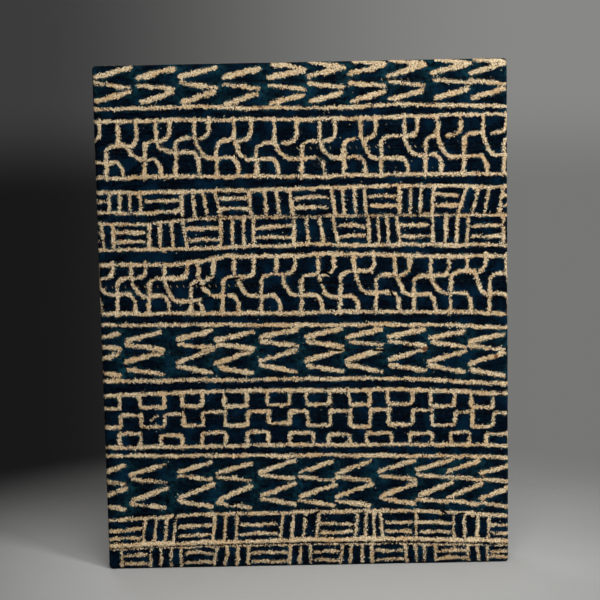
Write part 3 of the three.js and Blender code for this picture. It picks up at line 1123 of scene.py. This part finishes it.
def pine_material(name, along):
    """Softwood whose grain runs along X (along = 0) or along Z (along = 2)."""
    g = Graph(name)
    place = g.add("ShaderNodeTexCoord", output=3)
    turn = (0, 0, 0) if along == 2 else (0, math.pi / 2, 0)
    turned = g.add("ShaderNodeMapping", {"Vector": place, "Rotation": turn})
    drawn = g.vector("MULTIPLY", turned, (1.0, 1.0, 0.06))
    bends = {0: 0.012, 4: drawn, 5: g.noise(drawn, 9.0, output=1)}
    bent = g.add("ShaderNodeMix", bends, output=1, data_type="VECTOR")
    waves = {"Vector": bent, "Scale": 95.0, "Distortion": 2.4, "Detail": 2.0}
    rings = g.add("ShaderNodeTexWave", waves, output=1, bands_direction="X")
    fibre = g.noise(g.vector("MULTIPLY", turned, (1.0, 1.0, 0.02)), 900.0)
    board = g.noise(g.vector("MULTIPLY", turned, (1.0, 1.0, 0.25)), 14.0)
    cells = {"Vector": g.vector("MULTIPLY", turned, (1.0, 1.0, 0.7)), "Scale": 9.0}
    knots = g.add("ShaderNodeTexVoronoi", cells)
    colour = g.mix(g.ramp(rings, 0.55, 0.98, 0, 0.75), EARLY_WOOD, LATE_WOOD)
    colour = g.mix(g.ramp(board, 0.35, 0.70, 0, 0.5), colour, BOARD_SHADE)
    colour = g.mix(g.ramp(fibre, 0.45, 0.75, 0, 0.35), colour, FIBRE_SHADE)
    colour = g.mix(g.ramp(knots, 0.085, 0.035, 0, 0.85), colour, KNOT)
    height = g.math("MULTIPLY_ADD", fibre, 0.6, g.math("MULTIPLY", rings, 0.3))
    g.put(g.shader.inputs["Base Color"], colour)
    g.put(g.shader.inputs["Roughness"], g.ramp(fibre, 0.3, 0.7, 0.55, 0.75))
    g.put(g.shader.inputs["Normal"], g.bump(height, 0.3 * MM, 0.6))
    g.shader.inputs["Specular IOR Level"].default_value = 0.3
    return g.material


pine_upright = pine_material("pine_upright", 2)
pine_lying = pine_material("pine_lying", 0)
for name in BAR_NAMES:
    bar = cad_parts[name]
    wood = pine_upright if name in ("bar_left", "bar_right") else pine_lying
    bar.data.materials.clear()
    bar.data.materials.append(wood)
print("dressed", BAR_NAMES)

# %% [markdown]
# ## Growing small things with Geometry Nodes
# Stitches, cut threads and staples are small, alike and many, which is what Geometry Nodes are for. A
# base mesh says where they go: each of its points carries an outward direction, and a direction in which
# the thing lies. The tree puts one small shape on each point, turns it by those two directions, and makes
# real faces of it all. The helpers start a tree with named inputs, turn a shape by the two directions,
# bow a thread, and run the tree on a base mesh to keep only the plain result.

# %% Make the growing helpers
class Grower(Nodes):
    """A Geometry Nodes tree with named inputs, kept by their socket identifiers."""

    def __init__(self, name, **inputs):
        super().__init__(bpy.data.node_groups.new(name, "GeometryNodeTree"))
        self.tree.interface.new_socket("Geometry", in_out="INPUT", socket_type="NodeSocketGeometry")
        self.tree.interface.new_socket("Geometry", in_out="OUTPUT", socket_type="NodeSocketGeometry")
        self.identifiers = {}
        kinds = {float: "NodeSocketFloat", int: "NodeSocketInt", type(None): "NodeSocketObject"}
        for label, value in inputs.items():
            socket = self.tree.interface.new_socket(label, in_out="INPUT", socket_type=kinds[type(value)])
            if value is not None:
                socket.default_value = value
            self.identifiers[label] = socket.identifier
        self.given = self.nodes.new("NodeGroupInput").outputs
        self.result = self.nodes.new("NodeGroupOutput").inputs[0]

    def direction(self, name):
        return self.add("GeometryNodeInputNamedAttribute", {"Name": name}, data_type="FLOAT_VECTOR")

    def turned(self, spin):
        """Z to the outward direction, X to the lying direction, then a spin about the outward one."""
        inputs = {"Vector": self.direction("outward")}
        upright = self.add("FunctionNodeAlignRotationToVector", inputs, axis="Z")
        inputs = {"Rotation": upright, "Vector": self.direction("lie")}
        lying = self.add("FunctionNodeAlignRotationToVector", inputs, axis="X", pivot_axis="Z")
        twist = self.add("ShaderNodeCombineXYZ", {2: spin})
        return self.add("FunctionNodeRotateRotation", {0: lying, 1: twist}, rotation_space="LOCAL")

    def chance(self, low, high, seed):
        """A random number between low and high, drawn for each point."""
        node = self.nodes.new("FunctionNodeRandomValue")
        for socket, value in ((node.inputs[2], low), (node.inputs[3], high), (node.inputs[8], seed)):
            self.put(socket, value)
        return node.outputs[1]

    def thread(self, middle, end, thickness, sides, steps):
        """A short tube that bows from the origin over its middle to its end."""
        bow = self.add("GeometryNodeCurveQuadraticBezier", {0: steps, 1: (0, 0, 0), 2: middle, 3: end})
        ring = self.add("GeometryNodeCurvePrimitiveCircle", {"Resolution": sides, "Radius": thickness})
        return self.add("GeometryNodeCurveToMesh", {0: bow, 1: ring, "Fill Caps": True})

    def finish(self, instances, pale):
        inputs = {0: instances, 2: "pale", 3: pale}
        marked = self.add("GeometryNodeStoreNamedAttribute", inputs, domain="INSTANCE")
        real = self.add("GeometryNodeRealizeInstances", {0: marked})
        self.links.new(self.add("GeometryNodeSetMaterial", {0: real, 2: self.material}), self.result)


def base_mesh(name, places, outward, lie, edges=()):
    """Bare points, or points along a line, that carry their two directions."""
    mesh = bpy.data.meshes.new(name)
    mesh.from_pydata((np.asarray(places) * MM).tolist(), edges, [])
    for title, values in (("outward", outward), ("lie", lie)):
        attribute = mesh.attributes.new(title, "FLOAT_VECTOR", "POINT")
        attribute.data.foreach_set("vector", np.asarray(values, np.float32).ravel())
    base = bpy.data.objects.new(name, mesh)
    bpy.context.scene.collection.objects.link(base)
    return base


def grow(grower, base, name, **values):
    """Run a tree on its base mesh and keep the plain mesh it makes."""
    modifier = base.modifiers.new("grow", "NODES")
    modifier.node_group = grower.tree
    for label, value in values.items():
        modifier[grower.identifiers[label]] = value
    bpy.context.view_layer.update()
    evaluated = base.evaluated_get(bpy.context.evaluated_depsgraph_get())
    mesh = bpy.data.meshes.new_from_object(evaluated)
    mesh.name = name
    base.modifiers.remove(modifier)
    bpy.data.objects.remove(base)
    piece = bpy.data.objects.new(name, mesh)
    bpy.context.scene.collection.objects.link(piece)
    print(name, "has", sum(len(p.vertices) - 2 for p in mesh.polygons), "triangles")
    return piece


# %% [markdown]
# ## Seam stitches
# The strips are sewn edge to edge with a slanting whip stitch, one about every six and a half
# millimetres. Most of the thread took the dye with the cloth, but on three seams a run of stitches stayed
# pale. Each stitch is a little arch across the seam. The eighth seam has none: there the edge of the
# eighth strip laps over the ninth as a low ridge. The thread's material mixes its dark and its pale shade
# by a number that the node tree gives to each stitch.

# %% Spin the stitching thread
THREAD_SHADE = srgb(70, 62, 46)


def thread_material(name, dark, light):
    """Spun thread: each one dark, pale or between, with a fine twist."""
    g = Graph(name)
    place = g.vector("MULTIPLY", g.add("ShaderNodeTexCoord", output=3), (1 / MM, 1 / MM, 1 / MM))
    twist = g.noise(place, 1.6)
    colour = g.mix(g.attribute("pale"), dark, light)
    colour = g.mix(g.ramp(twist, 0.35, 0.7, 0, 0.5), colour, THREAD_SHADE)
    g.put(g.shader.inputs["Base Color"], colour)
    g.put(g.shader.inputs["Roughness"], g.ramp(twist, 0.3, 0.7, 0.75, 0.95))
    g.put(g.shader.inputs["Normal"], g.bump(twist, 0.3 * MM, 0.7))
    g.shader.inputs["Specular IOR Level"].default_value = 0.08
    return g.material


sewing_thread = thread_material("sewing_thread", srgb(4, 16, 26), srgb(206, 190, 158))
print("made", sewing_thread.name)

# %% [markdown]
# ## Sewing with a tree of nodes
# The tree turns the seam's line into a curve, puts points on it one stitch apart, and bows a thread over
# each. A few stitches are skipped and each slants a little differently. The pale ones lie between the two
# places that the tree is given, so one tree sews all seven seams.

# %% Sew the seams
STITCH_ACROSS = 3.0
STITCH_RISE = 2.2
STITCH_SUNK = -0.45
THREAD_RADIUS = 0.30
PALE_RUNS = {1: (78, 108), 2: (-4, 132), 4: (-205, -60)}
NO_RUN = (0, 0)


def stitch_grower():
    sizes = {"Pitch": STITCH_PITCH * MM, "Across": STITCH_ACROSS * MM, "Radius": THREAD_RADIUS * MM}
    g = Grower("whip_stitches", **sizes, Slant=0.45, Skipped=0.06, PaleFrom=0.0, PaleTo=0.0, Seed=5)
    g.material = sewing_thread
    given = g.given
    line = g.add("GeometryNodeMeshToCurve", {0: given["Geometry"]})
    spaced = g.add("GeometryNodeResampleCurve", {"Curve": line, "Length": given["Pitch"]}, mode="LENGTH")
    points = g.add("GeometryNodeCurveToPoints", {0: spaced}, mode="EVALUATED")
    over = g.add("ShaderNodeCombineXYZ", {0: g.math("MULTIPLY", given["Across"], 0.5), 2: STITCH_RISE * MM})
    far = g.add("ShaderNodeCombineXYZ", {0: given["Across"]})
    arch = g.thread(over, far, given["Radius"], 5, 5)
    back = g.add("ShaderNodeCombineXYZ", {0: g.math("MULTIPLY", given["Across"], -0.5), 2: STITCH_SUNK * MM})
    arch = g.add("GeometryNodeTransform", {0: arch, "Translation": back})
    spin = g.math("ADD", given["Slant"], g.chance(-0.25, 0.25, given["Seed"]))
    kept = g.math("GREATER_THAN", g.chance(0.0, 1.0, given["Seed"]), given["Skipped"])
    inputs = {"Points": points, "Instance": arch, "Selection": kept, "Rotation": g.turned(spin)}
    placed = g.add("GeometryNodeInstanceOnPoints", inputs)
    x = g.add("ShaderNodeSeparateXYZ", {0: g.add("GeometryNodeInputPosition")})
    past_start = g.math("GREATER_THAN", x, given["PaleFrom"])
    pale = g.math("MULTIPLY", past_start, g.math("LESS_THAN", x, given["PaleTo"]))
    g.finish(placed, g.math("MULTIPLY", pale, g.chance(0.2, 1.0, given["Seed"])))
    return g


def seam_base(seam, name):
    s = np.linspace(-RETURN_END, RETURN_END, 4 * STITCHES)
    flat, outward = around(s)
    flat = flat + outward * 0.1
    places = np.column_stack([flat, seam_height(seam, flat[:, 0])])
    level = np.zeros(len(s))
    edges = [(k, k + 1) for k in range(len(s) - 1)]
    upwards = np.column_stack([level, level, level + 1])
    return base_mesh(name, places, np.column_stack([outward, level]), upwards, edges)


stitching = stitch_grower()
seam_threads = []
for number, seam in enumerate(SEAMS[:-1], 1):
    name = f"seam_thread_{number}"
    start, end = PALE_RUNS.get(number, NO_RUN)
    base = seam_base(seam, name + "_base")
    seam_threads.append(grow(stitching, base, name, Seed=number, PaleFrom=start * MM, PaleTo=end * MM))

# %% [markdown]
# ## Cut threads and wisps
# Where the cloth was cut on the back, the ends of its threads stand out as a short fringe. On the front,
# small wisps of raffia and cotton still stick out of the needle holes along the strokes, and catch the
# light as pale specks. Both are the same thing to Blender: fine bowed threads on points. The fringe's
# points lie along the cut edges, and the wisps' points are drawn from the edges of the strokes.

# %% Grow the fringe and the wisps
FRINGE_PITCH = 0.95
WISPS = 620
fibre_thread = thread_material("fibre_thread", srgb(6, 24, 38), srgb(214, 204, 178))


def fibre_grower():
    g = Grower("fibres", Length=3.0 * MM, Radius=0.14 * MM, Lift=0.5 * MM, Turn=0.5, Pale=0.5, Seed=1)
    g.material = fibre_thread
    given = g.given
    half = g.math("MULTIPLY", given["Length"], 0.55)
    over = g.add("ShaderNodeCombineXYZ", {0: half, 1: g.math("MULTIPLY", half, 0.3), 2: given["Lift"]})
    far = g.add("ShaderNodeCombineXYZ", {0: given["Length"], 1: g.math("MULTIPLY", half, -0.2)})
    fibre = g.thread(over, far, given["Radius"], 4, 4)
    points = g.add("GeometryNodeMeshToPoints", {0: given["Geometry"]})
    spin = g.chance(g.math("MULTIPLY", given["Turn"], -1.0), given["Turn"], given["Seed"])
    size = g.chance(0.35, 1.6, g.math("ADD", given["Seed"], 1.0))
    inputs = {"Points": points, "Instance": fibre, "Rotation": g.turned(spin), "Scale": size}
    placed = g.add("GeometryNodeInstanceOnPoints", inputs)
    drawn = g.chance(0.0, 1.0, g.math("ADD", given["Seed"], 2.0))
    g.finish(placed, g.math("LESS_THAN", drawn, given["Pale"]))
    return g


def fringe_base():
    cut = around(np.array([RETURN_END]))[0][0, 0]
    places, lies = [], []
    for side in (-1, 1):
        z = np.arange(BOTTOM_RETURN + 1, HEIGHT - TOP_RETURN - 1, FRINGE_PITCH)
        places.append(np.column_stack([0 * z + side * (cut + 0.6), 0 * z + HALF_DEPTH - 0.7, z]))
        lies.append(np.tile([-side, 0, 0], (len(z), 1)))
    for z, down in ((HEIGHT - TOP_RETURN + 0.6, -1), (BOTTOM_RETURN - 0.6, 1)):
        x = np.arange(-cut + 1, cut - 1, FRINGE_PITCH)
        places.append(np.column_stack([x, 0 * x + HALF_DEPTH - 0.7, 0 * x + z]))
        lies.append(np.tile([0, 0, down], (len(x), 1)))
    places, lies = np.concatenate(places), np.concatenate(lies)
    places[:, [0, 2]] += hand.normal(0, 0.25, (len(places), 2))
    places[:, 1] += hand.uniform(-0.5, 0.4, len(places))
    return base_mesh("fringe_base", places, np.tile([0, 1, 0], (len(places), 1)), lies)


def wisp_base():
    x, z = segments[:, 0], segments[:, 1]
    front = segments[(np.abs(x) < FLAT_HALF - 2) & (z > 4) & (z < HEIGHT - 6)]
    chosen = front[hand.integers(0, len(front), WISPS)]
    away = chosen[:, 2] * hand.choice([-1, 1], WISPS) * hand.uniform(0.7, 1.5, WISPS)
    x = chosen[:, 0] + hand.normal(0, 1.0, WISPS)
    z = chosen[:, 1] + away
    places = np.column_stack([x, 0 * x - HALF_DEPTH - 0.12, z])
    turn = hand.uniform(0, 2 * math.pi, WISPS)
    lie = np.column_stack([np.cos(turn), 0 * turn, np.sin(turn)])
    return base_mesh("wisp_base", places, np.tile([0, -1, 0], (WISPS, 1)), lie)


fibres = fibre_grower()
fringe = grow(fibres, fringe_base(), "cut_threads", Length=3.6 * MM, Turn=0.45, Pale=0.42, Seed=21)
curl = {"Length": 1.5 * MM, "Radius": 0.19 * MM, "Lift": 0.9 * MM}
wisps = grow(fibres, wisp_base(), "raffia_wisps", **curl, Pale=0.93, Seed=31)

# %% [markdown]
# ## Staples
# The photograph shows only the front, so how the cloth is held is a guess: a row of thin wire staples
# along each return on the back, the usual way on such a frame. One staple is modelled as a small mesh, a
# flat wire with two bent legs, and Geometry Nodes set copies of it in rows, none quite straight.

# %% Drive the staples
STAPLE_CROWN = 10.0
STAPLE_LEG = 1.6
WIRE_WIDE = 1.1
WIRE_THICK = 0.5
WIRE_BEND = 0.6
STAPLE_PITCH = 38.0
STAPLE_STEEL, STAPLE_RUST = srgb(168, 166, 160), srgb(118, 78, 48)


def staple_path():
    """One leg, a bend, the crown, a bend and the other leg."""
    half = [(-STAPLE_CROWN / 2, -STAPLE_LEG)]
    for turn in np.linspace(0, math.pi / 2, 4):
        x = -STAPLE_CROWN / 2 + WIRE_BEND * (1 - math.cos(turn))
        half.append((x, WIRE_BEND * (math.sin(turn) - 1)))
    return half + [(-x, z) for x, z in half[::-1]]


def staple_shape():
    """Flat wire swept along the path: four corners at each place, and four faces between two places."""
    path = staple_path()
    places, faces = [], []
    for number, (x, z) in enumerate(path):
        before, after = path[max(number - 1, 0)], path[min(number + 1, len(path) - 1)]
        run = Vector((after[0] - before[0], after[1] - before[1])).normalized()
        for side, lift in ((-1, 0), (1, 0), (1, 1), (-1, 1)):
            rise = lift * WIRE_THICK
            places.append(((x - run.y * rise) * MM, side * WIRE_WIDE / 2 * MM, (z + run.x * rise) * MM))
        ring = 4 * number
        for k in range(4 if number else 0):
            turn = (k + 1) % 4
            faces.append((ring - 4 + k, ring - 4 + turn, ring + turn, ring + k))
    last = 4 * (len(path) - 1)
    faces += [(3, 2, 1, 0), (last, last + 1, last + 2, last + 3)]
    mesh = bpy.data.meshes.new("staple_shape")
    mesh.from_pydata(places, [], faces)
    shape = bpy.data.objects.new("staple_shape", mesh)
    bpy.context.scene.collection.objects.link(shape)
    return shape


def steel_material():
    g = Graph("staple_steel")
    place = g.add("ShaderNodeTexCoord", output=3)
    dull = g.noise(place, 700.0, 3.0)
    spot = g.ramp(g.noise(place, 260.0, 2.0), 0.58, 0.72, 0, 0.8)
    g.put(g.shader.inputs["Base Color"], g.mix(spot, STAPLE_STEEL, STAPLE_RUST))
    g.put(g.shader.inputs["Roughness"], g.ramp(dull, 0.3, 0.7, 0.32, 0.55))
    g.put(g.shader.inputs["Metallic"], g.math("SUBTRACT", 1.0, spot))
    return g.material


def staple_grower():
    g = Grower("staple_rows", Shape=None, Crooked=0.12, Seed=3)
    g.material = steel_material()
    given = g.given
    shape = g.add("GeometryNodeObjectInfo", {0: given["Shape"]}, output=4)
    points = g.add("GeometryNodeMeshToPoints", {0: given["Geometry"]})
    spin = g.chance(g.math("MULTIPLY", given["Crooked"], -1.0), given["Crooked"], given["Seed"])
    inputs = {"Points": points, "Instance": shape, "Rotation": g.turned(spin)}
    g.finish(g.add("GeometryNodeInstanceOnPoints", inputs), 0.0)
    return g


def staple_base():
    places, lies = [], []
    for side in (-1, 1):
        for z in np.arange(34.0, HEIGHT - 30, STAPLE_PITCH):
            places.append((side * (HALF_WIDTH - SIDE_RETURN * 0.52), HALF_DEPTH, z))
            lies.append((0, 0, 1))
    for z in (HEIGHT - TOP_RETURN * 0.55, BOTTOM_RETURN * 0.62):
        for x in np.arange(-HALF_WIDTH + 32, HALF_WIDTH - 30, STAPLE_PITCH):
            places.append((x, HALF_DEPTH, z))
            lies.append((1, 0, 0))
    places = np.array(places)
    places[:, 0] += hand.normal(0, 0.6, len(places))
    places[:, 2] += hand.normal(0, 0.4, len(places))
    places[:, 1] += 0.25
    return base_mesh("staple_base", places, np.tile([0, 1, 0], (len(places), 1)), lies)


shape = staple_shape()
staples = grow(staple_grower(), staple_base(), "staples", Shape=shape)
bpy.data.objects.remove(shape)

# %% [markdown]
# ## Floor, air and light
# The panel stands on a pale floor. The floor is a wide disc that fades out with distance, so it melts into
# the grey of the studio's air and nothing stands between the panel and a camera behind it. A soft lamp on
# the right gives most of the light. A weak one on the left and one above soften the shadows, and a last
# one behind keeps the back of the panel readable.

# %% Set up the studio
FLOOR_RADIUS = 0.7
FLOOR_SIDES = 96
FADE_START = 0.16
FADE_END = 0.60
FLOOR_DROP = 0.0002
PAPER_DARK, PAPER_LIGHT = (0.42, 0.42, 0.41, 1), (0.46, 0.46, 0.45, 1)
AIR_DARK, AIR_LIGHT, AIR_AROUND = (0.045, 0.045, 0.046, 1), (0.245, 0.245, 0.235, 1), (0.13, 0.13, 0.13, 1)
NO_LIGHT = (0, 0, 0, 1)


def studio_floor():
    turns = [2 * math.pi * k / FLOOR_SIDES for k in range(FLOOR_SIDES)]
    places = [(FLOOR_RADIUS * math.cos(t), FLOOR_RADIUS * math.sin(t), -FLOOR_DROP) for t in turns]
    mesh = bpy.data.meshes.new("studio_floor")
    mesh.from_pydata(places, [], [list(range(FLOOR_SIDES))])
    floor = bpy.data.objects.new("studio_floor", mesh)
    bpy.context.scene.collection.objects.link(floor)
    g = Graph("studio_paper")
    place = g.add("ShaderNodeTexCoord", output=3)
    away = g.add("ShaderNodeVectorMath", {0: place}, output=1, operation="LENGTH")
    shade = g.ramp(g.noise(place, 3.0, 3.0), 0.3, 0.7)
    g.put(g.shader.inputs["Base Color"], g.mix(shade, PAPER_DARK, PAPER_LIGHT))
    g.put(g.shader.inputs["Alpha"], g.ramp(away, FADE_END, FADE_START))
    g.shader.inputs["Roughness"].default_value = 0.9
    g.shader.inputs["Specular IOR Level"].default_value = 0.1
    mesh.materials.append(g.material)
    return floor


def soft_lamp(name, place, aim, width, height, power):
    data = bpy.data.lights.new(name, "AREA")
    data.shape = "RECTANGLE"
    data.size, data.size_y = width, height
    data.energy = power
    lamp = bpy.data.objects.new(name, data)
    lamp.location = place
    lamp.rotation_mode = "QUATERNION"
    lamp.rotation_quaternion = (Vector(aim) - Vector(place)).to_track_quat("-Z", "Y")
    bpy.context.scene.collection.objects.link(lamp)


def studio_air(dark, light, around):
    """A grey world with painted light: ahead of the camera it darkens towards the left, as a painted falloff
    of the light, and low down, as the panel's painted shadow; elsewhere it is even.
    """
    world = bpy.data.worlds.new("studio_air")
    world.use_nodes = True
    air = Nodes(world.node_tree)
    direction = air.add("ShaderNodeTexCoord")
    x = air.add("ShaderNodeSeparateXYZ", {0: direction}, output=0)
    z = air.add("ShaderNodeSeparateXYZ", {0: direction}, output=2)
    # Painted light on the air: darker to the left as the light falls off, and darker again low down as the
    # panel's painted shadow, most on the left.
    side = air.ramp(x, -0.17, 0.14)
    low = air.math("MULTIPLY", air.ramp(z, -0.005, -0.065), air.math("MULTIPLY_ADD", side, -0.55, 0.80))
    ahead = air.mix(low, air.mix(side, dark, light), NO_LIGHT)
    wide = air.ramp(air.math("ABSOLUTE", x), 0.22, 0.45)
    air.put(air.nodes["Background"].inputs[0], air.mix(wide, ahead, around))
    bpy.context.scene.world = world


studio_floor()
soft_lamp("key_lamp", (0.98, -1.15, 0.78), (0, 0, 0.25), 0.36, 0.36, 20.5)
soft_lamp("fill_lamp", (-1.1, -1.3, 0.7), (0, 0, 0.25), 0.5, 0.5, 1.8)
soft_lamp("top_lamp", (0.1, -0.9, 1.7), (0.05, -0.3, 0), 0.6, 0.4, 14)
soft_lamp("back_lamp", (-0.7, 1.7, 1.3), (0, 0, 0.25), 0.8, 0.8, 9)
studio_air(AIR_DARK, AIR_LIGHT, AIR_AROUND)
print("studio and lamps ready")

for piece, name in zip(strips, STRIP_NAMES):
    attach(piece, "root")
    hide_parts(name)
for piece in [*seam_threads, fringe, wisps]:
    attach(piece, "root")
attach(staples, "root")
print("declared", len(strips), "sheets")

# %% [markdown]
